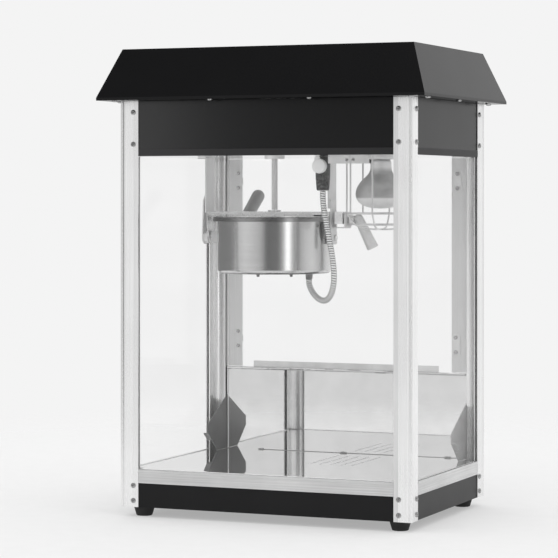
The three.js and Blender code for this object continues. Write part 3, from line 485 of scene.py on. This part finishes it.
def conduit():
    route = even(smooth_line([at(*p) for p in CONDUIT_ROUTE], 24), 0.45 * MM)
    length = sum((b - a).length for a, b in zip(route, route[1:]))
    step = length / (len(route) - 1)

    def radius(i, angle):
        turn = (i * step / (CONDUIT_PITCH * MM) + angle / (2 * math.pi)) % 1
        ridge = min(1.0, 2.6 * min(turn, 1 - turn))
        return (CONDUIT_D / 2 - 0.85 * (1 - ridge)) * MM

    bm = bmesh.new()
    sides = 20
    sweep(bm, route, radius, sides)
    bm.faces.ensure_lookup_table()
    # The grooves between the strip's turns get the darker grey, painted shade in the recesses.
    for number, face in enumerate(bm.faces[:sides * (len(route) - 1)]):
        i, k = divmod(number, sides)
        if radius(i + 0.5, 2 * math.pi * (k + 0.5) / sides) < (CONDUIT_D / 2 - 0.4) * MM:
            face.material_index = 1
    tube = piece("heater_conduit_strip", bm, CONDUIT, None, ["heater_conduit"], angle=80)
    tube.data.materials.append(GROOVE_SHADE)
    tube.visible_glossy = False
    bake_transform(tube)


conduit()

# ---- finishes of the CAD nodes --------------------------------------------------------------------
POSTS = [f"{a}_{b}" for a in ("front", "rear") for b in ("left", "right")]
FINISHES = [
    (LIT_BASE_ENAMEL, 0.5, ["base_box"]),
    (BLACK, 0.5, ["header_box", "roof"]),
    (POST, 0, ["post_front_left", "post_front_right"]),
    (REAR_POST, 0, ["post_rear_left", "post_rear_right"]),
    (RAIL_X, 0, ["rail_front"]),
    (RAIL_Y, 0, ["rail_left", "rail_right"]),
    (JAMB, 0, ["door_jamb_left", "door_jamb_right"]),
    (GLASS, 0, ["glass_front", "glass_left", "glass_right"]),
    (ACRYLIC, 0, ["door_left", "door_right"]),
    (MIRROR, 0, ["deck_plate"]),
    (BACK, 0, ["back_panel"]),
    (SHEET, 0.3, ["kettle_bridge", "lid_front", "lid_rear", "crumb_drawer"]),
    (SATIN, 0.3, ["door_stop_strip", "hanger_left", "hanger_right", "hook_plate_left", "latch_bracket",
                  "lamp_bracket"]),
    (SHEET, 0, [f"hinge_{side}_{level}" for side in ("left", "right") for level in ("upper", "lower")]),
    (SHADED_DEFLECTOR, 0.2, ["corner_deflector_left"]),
    (LIT_DEFLECTOR, 0.2, ["corner_deflector_right"]),
    (SHAFT, 0, ["drive_shaft", "stirrer"]),
    (NYLON, 0.4, ["latch_bearing_block", "shaft_carriage"]),
    (MOTOR, 0.5, ["gear_motor", "heating_plate"]),
    (PLASTIC, 0.4, ["kettle_power_socket", "power_inlet_gland", "switch_bezel"]),
    (SWITCH, 0.4, ["rocker_heat", "rocker_stirrer", "rocker_lamp"]),
]
for material, bevel, nodes in FINISHES:
    for node in nodes:
        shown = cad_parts[node]
        shown.data.materials.clear()
        shown.data.materials.append(material)
        for polygon in shown.data.polygons:
            polygon.material_index = 0
            polygon.use_smooth = True
        shown.data.set_sharp_from_angle(angle=math.radians(28))
        if bevel:
            soften(shown, bevel)

# The header's underside is a polished sheet with the drive's bearing flange on it, and a raised trim strip runs
# round the header's lower edge.
# The strip's enamel is painted lighter than the header's: a painted sheen for the white floor it mirrors.
FLANGE_R = 40.0
STRIP_TOP = 584.0
STRIP_X, STRIP_Y = 249.5, 178.5  # the strip's outer faces lie beyond these
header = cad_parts["header_box"].data
header.materials.append(MIRROR)
header.materials.append(TRIM_SHEEN)
header.materials.append(KNOB)
for polygon in header.polygons:
    middle = polygon.center / MM
    height = middle.z - FOOT_H
    if height < CEILING_Z - 0.4 and math.hypot(middle.x - KETTLE_X, middle.y) < FLANGE_R:
        polygon.material_index = 3
    elif polygon.normal.z < -0.9 and height < CEILING_Z + 2:
        polygon.material_index = 1
    elif height < STRIP_TOP and (abs(middle.x) > STRIP_X or abs(middle.y) > STRIP_Y):
        polygon.material_index = 2


def dress(node, material, test):
    """Gives the faces of a CAD node that pass a test, on centre and normal, another material."""
    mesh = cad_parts[node].data
    mesh.materials.append(material)
    for polygon in mesh.polygons:
        if test(polygon.center / MM, polygon.normal):
            polygon.material_index = len(mesh.materials) - 1


# Painted shade: the free edge of the right post's face turns away from the light, and it gets a darker
# aluminium.
# Painted light: the left rear post's glass channel and the deck's edges get a pale matt, and the rails' upper
# faces and the left rail's inner face get a light grey in place of dark reflections and the shade in the gaps.
dress("post_front_right", POST_EDGE_SHADE, lambda p, n: p.x < 229.2 and n.y < -0.9)
dress("post_rear_left", PAINTED_LIGHT_MATT, lambda p, n: p.x < -245.5 and p.y < 172 and n.x > 0.7)
dress("deck_plate", PAINTED_LIGHT_MATT, lambda p, n: abs(n.z) < 0.5)
dress("rail_front", SHADE_AND_LIGHT_GREY, lambda p, n: n.z > 0.5)
dress("rail_left", SHADE_AND_LIGHT_GREY, lambda p, n: n.z > 0.5 or n.x > 0.7 and p.z > 70)
dress("rail_right", SHADE_AND_LIGHT_GREY, lambda p, n: n.z > 0.5)

# ---- cabinet details ------------------------------------------------------------------------------
foot_profile = [(0, 1.2), (5.5, 1.2), (6.5, 0.2), (12.2, 0), (12.9, 0.5), (13.4, 1.6), (16.9, 13.4),
                (17.2, 14.5), (16.9, 15.4), (0, 15.7)]
for corner, (sx, sy) in zip(POSTS, ((-1, -1), (1, -1), (-1, 1), (1, 1))):
    bm = bmesh.new()
    lathe(bm, foot_profile, upright(sx * FOOT_X, sy * FOOT_Y, -FOOT_H), 48)
    piece(f"rubber_foot_{corner}", bm, RUBBER, "cabinet", [f"foot_{corner}"])

bm = bmesh.new()
for sx in (-1, 1):
    for sy in (-1, 1):
        for z in (10.5, 35, 591.5, 643.5):
            pan_head(bm, facing((sx * 230, sy * (HALF_D - FACE_IN), z), (0, sy, 0)))
            pan_head(bm, facing((sx * (HALF_W - FACE_IN), sy * 158, z), (sx, 0, 0)))
piece("post_screws", bm, ZINC, "cabinet")

bm = bmesh.new()
for sy in (-1, 1):
    for x in (-256, -86, 86, 256):
        pan_head(bm, facing((x, sy * 195, EAVES_Z), DOWN), 4.5, 2.6)
for sx in (-1, 1):
    for y in (-152, 0, 152):
        pan_head(bm, facing((sx * 268, y, EAVES_Z), DOWN), 4.5, 2.6)
piece("eaves_screws", bm, ZINC, "cabinet")

# Strips beside the front pane's edges, behind the posts' legs: painted shade standing in for the shaded end
# faces of the legs.
bm = bmesh.new()
for sx in (-1, 1):
    block(bm, sorted((sx * 221.2, sx * 223.8)), (-174, -172.4), (61.8, 571))
piece("leg_end_shade_strips", bm, SHADE_AND_LIGHT_GREY, "cabinet", bevel=0.2)

# A joint strip with a tab and two clips where the deck meets the rear panel.
bm = bmesh.new()
block(bm, (-151, 206), (176.2, 176.7), (DECK_Z, 62))
block(bm, (-161, -153), (173.5, 176.7), (DECK_Z, 63))
for x in (-1.4, 188.9):
    plate(bm, rounded(11, 2, 0.9), facing((x, 176.4, 62.6), FRONT), 1)
piece("deck_joint_strip", bm, JOINT, "cabinet", bevel=0.15)

# Pale beads close the gaps at the deck's front and left edges, the rear left corner and the pane beside it:
# painted light, a pale matt over dark gaps where a soft highlight shows.
bm = bmesh.new()
block(bm, (-220, 220), (-174.2, -171.8), (DECK_Z, 62.2))
block(bm, (-245.6, -243.2), (-146, 146), (DECK_Z, 62.2))
block(bm, (-220.9, -219.7), (175.4, 176.8), (62.4, 571))
block(bm, (-245.5, -243.9), (149.7, 152.3), (61.8, 571))
piece("painted_light_beads", bm, PAINTED_LIGHT_MATT, "cabinet", bevel=0.2)

# The hinges' screws end in nuts inside the jambs; the right jamb has nut plates under them.
bm = bmesh.new()
nuts = bmesh.new()
for z in (532.5, 254):
    x = 207 if z > 400 else 203.8
    plate(bm, rounded(15, 36, 3), facing((x, PANEL_Y - 1.3, z), FRONT), 0.9)
    for dz in (-12.6, 12.6):
        hex_nut(nuts, facing((x, PANEL_Y - 2.2, z + dz), FRONT))
        hex_nut(nuts, facing((-201, PANEL_Y - 1.3, z + dz + 1.5), FRONT), 3.2)
piece("hinge_nut_plates", bm, SATIN, "cabinet")
piece("hinge_nuts", nuts, ZINC, "cabinet")

# Hinges: screws in the leaf on the jamb, and the sleeve that turns with the door.
for side, sx in (("left", -1), ("right", 1)):
    sleeves = bmesh.new()
    fixed = bmesh.new()
    for z0, z1 in ((515, 550), (239, 272)):
        third = (z1 - z0) / 3
        middle = (z0 + z1) / 2
        block(sleeves, sorted((sx * 195.3, sx * 198.4)), (184.3, 185.4), (z0 + third, z1 - third))
        closed_lathe(sleeves, [(2.75, z0 + third), (3.4, z0 + third), (3.4, z1 - third), (2.75, z1 - third)],
                     upright(sx * HINGE_X, HINGE_Y, 0), 24)
        for dz in (-12.4, 12.4):
            pan_head(fixed, facing((sx * 207, 179.8, middle + dz), (0, 1, 0)), 3.2, 1.6)
    piece(f"door_hinge_sleeves_{side}", sleeves, SHEET, f"door_{side}", bevel=0.2)
    piece(f"jamb_hinge_screws_{side}", fixed, ZINC, "cabinet")

# ---- kettle ---------------------------------------------------------------------------------------
KETTLE_R = 95.5
BOTTOM = 378.5
RIM = 472.0
JACKET_TOP = 470.2


def arc(cx, cz, r, start, end, steps=8):
    """Points on a circle in a profile, angles in degrees."""
    angles = [math.radians(start + (end - start) * i / steps) for i in range(steps + 1)]
    return [(cx + r * math.cos(a), cz + r * math.sin(a)) for a in angles]


bm = bmesh.new()
profile = [(0, BOTTOM), (60, BOTTOM)] + arc(KETTLE_R - 7.5, BOTTOM + 7.5, 7.5, -90, 0)
profile += [(KETTLE_R, 420), (KETTLE_R, JACKET_TOP - 0.3), (KETTLE_R - 0.4, JACKET_TOP),
            (KETTLE_R - 1.2, JACKET_TOP), (KETTLE_R - 1.2, BOTTOM + 8), (KETTLE_R - 7, BOTTOM + 1.3),
            (0, BOTTOM + 1.3)]
lathe(bm, profile, upright(KETTLE_X, 0, 0), 160)
jacket = piece("kettle_shell", bm, KETTLE, "kettle", ["kettle_jacket"])
# The kettle's underside takes the same darker steel, painted shade.
jacket.data.materials.append(COLLAR_SHADE)
for polygon in jacket.data.polygons:
    if polygon.center.z < (BOTTOM + 1.8 + FOOT_H) * MM:
        polygon.material_index = 1

bm = bmesh.new()
profile = [(0, 393.3), (86, 393.3)] + arc(86, 399.5, 6.2, -90, 0) + [(92.2, 470.6), (102, 470.6), (102, 465)]
profile += [(103.2, 464.9)] + arc(101.8, 470.6, 1.4, 0, 90, 4) + [(91.6, RIM), (91, 471.4), (91, 400)]
profile += [(89, 396.4), (85, 394.5), (0, 394.5)]
lathe(bm, profile, upright(KETTLE_X, 0, 0), 160)
pan = piece("kettle_pan_drawn", bm, KETTLE, "kettle", ["kettle_pan"])
# The pan's outer flange and skirt take the darker steel: painted shade for the dark band the collar mirrors.
pan.data.materials.append(COLLAR_SHADE)
for polygon in pan.data.polygons:
    if math.hypot(polygon.center.x - KETTLE_X * MM, polygon.center.y) > 0.1012:
        polygon.material_index = 1

bm = bmesh.new()
for k in range(4):
    angle = math.radians(-112 + 90 * k)
    origin = (KETTLE_X + 39 * math.cos(angle), 39 * math.sin(angle), BOTTOM)
    lathe(bm, [(0, 0), (3.6, 0), (3.6, 2.2), (2.4, 2.6), (2.4, 5.2), (1.8, 5.8), (0, 5.8)],
          facing(origin, DOWN), 18)
lathe(bm, [(0, 0), (8.6, 0), (8.6, 1.2), (0, 1.2)], facing((*GLAND, BOTTOM), DOWN), 32)
hex_nut(bm, facing((*GLAND, BOTTOM - 1.2), DOWN), 6.4, 5)
lathe(bm, [(0, 0), (5.6, 0), (5.6, 3), (5, 3.7), (0, 3.7)], facing((*GLAND, BOTTOM - 6.2), DOWN), 32)
piece("kettle_base_fittings", bm, FITTING, "kettle")

# Tipping handle: pad on the jacket, shank, ferrule and moulded grip.
HANDLE_X = -147.6
grip_from = Vector((HANDLE_X, 78, 460.7))
grip_to = Vector((HANDLE_X, 142, 506.5))
grip_axis = (grip_to - grip_from).normalized()
grip_length = (grip_to - grip_from).length

bm = bmesh.new()
profile = [(0, 0), (8, 0), (9.8, 1), (10.2, 3)]
profile += [(10.2 + 1.1 * t / 10, 3 + (grip_length - 3) * t / 10) for t in range(1, 11)]
profile += arc(0, grip_length, 11.3, 0, 90, 10)[1:-1] + [(0, grip_length + 11.3)]
lathe(bm, profile, facing(grip_from, grip_axis), 48)
piece("tipping_grip", bm, DARK_GRIP, "kettle")

bm = bmesh.new()
shank_from = Vector((HANDLE_X, 38, 432.1))
shank_length = (grip_from - shank_from).length + 2
lathe(bm, [(0, 0), (4.5, 0), (4.5, shank_length), (0, shank_length)], facing(shank_from, grip_axis), 24)
lathe(bm, [(0, -3), (6.6, -3), (7, -2.4), (7, -0.2), (0, -0.2)], facing(grip_from, grip_axis), 32)
pad_angle = math.degrees(math.atan2(33, HANDLE_X - KETTLE_X))
pad = []
for z in (418.5, 443.5):
    outer = [(KETTLE_R + 2.9, pad_angle - 9 + 18 * i / 8) for i in range(9)]
    inner = [(KETTLE_R + 0.1, a) for _, a in reversed(outer)]
    pad.append([at(KETTLE_X + r * math.cos(math.radians(a)), r * math.sin(math.radians(a)), z)
                for r, a in outer + inner])
skin(bm, pad)
piece("tipping_handle_mount", bm, SHEET, "kettle", ["kettle_handle"], bevel=0.3)

# ---- latch lever ----------------------------------------------------------------------------------
LATCH_Z = 467.0
lever_from = Vector((95.5, -2, 470))
lever_to = Vector((118, 5, 421))
lever_axis = (lever_to - lever_from).normalized()
lever_length = (lever_to - lever_from).length
bm = bmesh.new()
profile = [(0, -7.4)] + arc(0, 0, 7.6, -75, 0, 6)
profile += [(7.6 + 2.2 * t / 12, lever_length * t / 12 - 1.6 * (t == 12)) for t in range(1, 13)]
profile += [(9.5, lever_length - 0.8), (8.6, lever_length - 0.2), (7, lever_length), (0, lever_length)]
lathe(bm, profile, facing(lever_from, lever_axis), 48)
piece("latch_grip", bm, GREY_GRIP, "latch_lever", ["latch_lever"])
bm = bmesh.new()
lathe(bm, [(0, 0), (4, 0), (4, 28.4), (7.6, 28.8), (8, 29.4), (8, 38), (0, 38)],
      facing((50.4, 0, LATCH_Z), (1, 0, 0)), 28)
piece("latch_shaft", bm, SATIN, "latch_lever")
bm = bmesh.new()
slot_head(bm, facing((68.2, -16.5, 471.5), FRONT), 4.6, 1.4)
piece("bearing_block_screw", bm, KNOB, "cabinet")

# ---- heater plug ----------------------------------------------------------------------------------
PLUG_X, PLUG_Y = 47.0, -40.0


def plug_ring(z, half, power, count=40):
    """A ring between a circle (power 2) and a square with round corners (a higher power)."""
    ring = []
    for k in range(count):
        angle = 2 * math.pi * k / count
        c, s = math.cos(angle), math.sin(angle)
        reach = half / (abs(c) ** power + abs(s) ** power) ** (1 / power)
        ring.append(at(PLUG_X + reach * c, PLUG_Y + reach * s, z))
    return ring


bm = bmesh.new()
steps = [(516, 8.2, 2.2), (516.6, 9.3, 2.4), (518.4, 9.9, 2.6), (524, 10.2, 2.9), (530, 10.4, 3.4),
         (531.2, 10.2, 3.8), (532, 9.8, 4), (533, 10.3, 4.6), (545, 10.4, 5), (569.6, 10.5, 5),
         (570.9, 10.1, 5), (571.6, 9.4, 4.6)]
skin(bm, [plug_ring(*step) for step in steps])
piece("heater_plug_body", bm, PLASTIC, "cabinet", ["heater_plug"])

bm = bmesh.new()
knob = [(0, 0), (6, 0), (6, 3.3), (11.2, 3.5), (12, 4.3), (12, 11.4), (11.4, 12.2), (10, 12.5), (5, 12.3),
        (0, 12.3)]


def knurl(point, k):
    reach = math.hypot(point.x, point.y)
    if 11.3 < reach < 12.1 and k % 2:
        point.x *= 0.965
        point.y *= 0.965
    return point


lathe(bm, knob, facing((PLUG_X + 1.4, PLUG_Y - 10.8, 556), FRONT), 72, knurl)
piece("plug_knob_knurled", bm, KNOB, "plug_knob", ["plug_knob"])

# Catch plate of the power socket, on the ceiling beside the plug.
bm = bmesh.new()
plate(bm, rounded(10, 9.2, 2), facing((PLUG_X - 5, PLUG_Y - 11.4, 567.2), FRONT), 1.2)
piece("socket_catch_plate", bm, SHEET, "cabinet", bevel=0.2)

# ---- warming lamp ---------------------------------------------------------------------------------
LAMP_X, LAMP_Y = 156.0, -60.0
bulb_line = smooth_line([(x, 0, z) for x, z in (
    (4, 487.05), (12, 487.6), (22, 489.5), (31, 493.4), (37.4, 499.2), (40.6, 506.5), (40.8, 513),
    (38.4, 521.5), (33.2, 529.5), (26, 537), (20.2, 543.2), (17.5, 549.5), (17, 556), (16.6, 562), (14, 567),
    (13.4, 571))], 4)
bm = bmesh.new()
lathe(bm, [(0, 487)] + [(p.x, p.z) for p in bulb_line] + [(13.4, 590), (5, 595), (0, 595.5)],
      upright(LAMP_X, LAMP_Y, 0), 72)
piece("reflector_bulb", bm, BULB, "cabinet", ["lamp_bulb"])

WIRE_R = 1.4
GUARD_R = 57.0
FIRST_WIRE = -173.5  # degrees from +X


def round_lamp(radius, angle, z):
    return at(LAMP_X + radius * math.cos(angle), LAMP_Y + radius * math.sin(angle), z)


bm = bmesh.new()
sweep(bm, circle(LAMP_X, LAMP_Y, 479, GUARD_R), WIRE_R * MM, 10, True)
sweep(bm, circle(LAMP_X, LAMP_Y, 461, 42, 72), WIRE_R * MM, 10, True)
for k in range(8):
    angle = math.radians(FIRST_WIRE + 45 * k)
    top = 571.4 if k else 559.6  # the first wire ends under the lamp's arm
    sweep(bm, [round_lamp(GUARD_R, angle, z) for z in (478, 500, 530, top)], WIRE_R * MM, 10)
for start in (FIRST_WIRE, FIRST_WIRE + 90):
    a = math.radians(start)
    b = a + math.pi
    hoop = [round_lamp(*p) for p in (
        (GUARD_R, a, 480), (50.5, a, 470), (42, a, 460.5), (30, a, 455.5), (14, a, 453.6), (0, a, 453.4),
        (14, b, 453.6), (30, b, 455.5), (42, b, 460.5), (50.5, b, 470), (GUARD_R, b, 480))]
    sweep(bm, smooth_line(hoop, 6), WIRE_R * MM, 10)
piece("lamp_wire_guard", bm, WIRE, "cabinet", ["lamp_guard"])

bm = bmesh.new()
for x in (101.5, 112.6):
    pan_head(bm, facing((x, LAMP_Y - 12, 566), FRONT), 2.8, 1.4)
for y, z in ((0.9, 519), (14, 524)):
    pan_head(bm, facing((-176.3, y, z), (-1, 0, 0)), 2.2, 1.2)
piece("bracket_screws", bm, ZINC, "cabinet")

# ---- studio ---------------------------------------------------------------------------------------
def ramp(tree, factor, stops):
    """A grey ramp; stops are (position, value)."""
    node = add(tree, "ValToRGB", {0: factor})
    elements = node.color_ramp.elements
    node.color_ramp.interpolation = "LINEAR"
    while len(elements) < len(stops):
        elements.new(0.5)
    for element, (position, value) in zip(elements, stops):
        element.position = position
        element.color = (value, value, value, 1)
    return node.outputs[0]


BACKGROUND = grey(244)
SOFT_LIGHT = 1.3  # what matt surfaces receive from all round
# What the polished metal mirrors: softboxes and gaps, as (compass angle from +X in degrees, brightness).
TENT = [(-180, 0.27), (-165, 0.3), (-159, 0.42), (-155, 0.36), (-150, 0.57), (-142, 0.78), (-128, 0.9),
        (-114, 0.8), (-100, 0.66), (-92, 0.54), (-87, 0.3), (-83, 0.17), (-60, 0.2), (-53, 0.42), (-46.5, 0.9),
        (-44, 1.9), (-37, 1.9), (-34, 0.9), (-28, 0.54), (-23, 0.34), (-18, 0.34), (-14, 0.6), (-2, 0.8),
        (14, 0.92), (37, 0.66), (50, 0.7), (62, 0.92), (100, 0.95), (118, 0.8), (130, 0.34), (145, 0.24),
        (180, 0.27)]
BRIGHTEST = 2.4


def studio():
    world = bpy.data.worlds.new("studio")
    scene.world = world
    world.use_nodes = True
    tree = world.node_tree
    tree.nodes.clear()
    direction = add(tree, "SeparateXYZ", {0: add(tree, "TexCoord").outputs["Generated"]})
    compass = add(tree, "Math", {0: direction.outputs["Y"], 1: direction.outputs["X"]}, operation="ARCTAN2")
    turn = add(tree, "MapRange", {
        "Value": compass.outputs[0], "From Min": -math.pi, "From Max": math.pi}).outputs[0]
    walls = ramp(tree, turn, [((angle + 180) / 360, value / BRIGHTEST) for angle, value in TENT])
    high = add(tree, "MapRange", {
        "Value": direction.outputs["Y"], "From Min": -0.45, "From Max": 0.25, "To Min": 0.22, "To Max": 0.92,
    }).outputs[0]
    overhead = add(tree, "MixRGB", {"Fac": high, "Color1": (0, 0, 0, 1), "Color2": grey(255)}).outputs[0]
    rise = add(tree, "MapRange", {
        "Value": direction.outputs["Z"], "From Min": 0.35, "From Max": 0.62}).outputs[0]
    level = add(tree, "MixRGB", {
        "Fac": 1.0, "Color1": walls, "Color2": (BRIGHTEST,) * 3 + (1,)}, blend_type="MULTIPLY")
    tent = add(tree, "MixRGB", {"Fac": rise, "Color1": level.outputs[0], "Color2": overhead}).outputs[0]
    mirrored = add(tree, "Background", {"Color": tent, "Strength": 1.0})
    plain = add(tree, "Background", {"Color": BACKGROUND, "Strength": 1.0})
    soft = add(tree, "Background", {"Color": grey(255), "Strength": SOFT_LIGHT})
    rays = add(tree, "LightPath")
    lit = add(tree, "MixShader", {0: rays.outputs["Is Glossy Ray"], 1: soft.outputs[0], 2: mirrored.outputs[0]})
    both = add(tree, "MixShader", {0: rays.outputs["Is Camera Ray"], 1: lit.outputs[0], 2: plain.outputs[0]})
    tree.links.new(both.outputs[0], add(tree, "OutputWorld").inputs["Surface"])


def floor():
    """A pale floor that fades into the backdrop away from the machine."""
    material, tree, surface = new_material("floor")
    place = add(tree, "TexCoord").outputs["Object"]
    speckle = noise(tree, place, scale=30)
    colour = add(tree, "MixRGB", {"Fac": spread(tree, speckle, 0, 1), "Color1": grey(168), "Color2": grey(170)})
    tree.links.new(colour.outputs[0], surface.inputs["Base Color"])
    surface.inputs["Emission Color"].default_value = (1, 1, 1, 1)
    surface.inputs["Emission Strength"].default_value = 0.38
    surface.inputs["Roughness"].default_value = 0.9
    surface.inputs["Specular IOR Level"].default_value = 0.0
    reach = add(tree, "VectorMath", {0: place}, operation="LENGTH").outputs["Value"]
    solid = add(tree, "MapRange", {
        "Value": reach, "From Min": 0.9, "From Max": 1.9, "To Min": 1.0, "To Max": 0.0,
    }, interpolation_type="SMOOTHSTEP")
    tree.links.new(solid.outputs[0], surface.inputs["Alpha"])
    bm = bmesh.new()
    bmesh.ops.create_circle(bm, cap_ends=True, segments=64, radius=2.0)
    mesh = bpy.data.meshes.new("floor")
    bm.to_mesh(mesh)
    bm.free()
    obj = bpy.data.objects.new("floor", mesh)
    scene.collection.objects.link(obj)
    mesh.materials.append(material)


def softbox(name, location, target, size, power):
    light = bpy.data.lights.new(name, "AREA")
    light.shape = "RECTANGLE"
    light.size, light.size_y = size
    light.energy = power
    obj = bpy.data.objects.new(name, light)
    scene.collection.objects.link(obj)
    obj.location = location
    obj.rotation_euler = (Vector(target) - Vector(location)).to_track_quat("-Z", "Y").to_euler()
    return obj


studio()
floor()
softbox("overhead", (0.2, -0.5, 3.2), (0, 0, 0.4), (2.4, 2.4), 14)

# This softbox shows only in the header's enamel.
enamel_light = softbox("left_front", (-1.1, -1.38, 0.69), (-1.1, 0, 0.69), (0.8, 1.0), 7.6)
enamel = bpy.data.collections.new("enamel")
enamel.objects.link(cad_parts["header_box"])
enamel_light.light_linking.receiver_collection = enamel
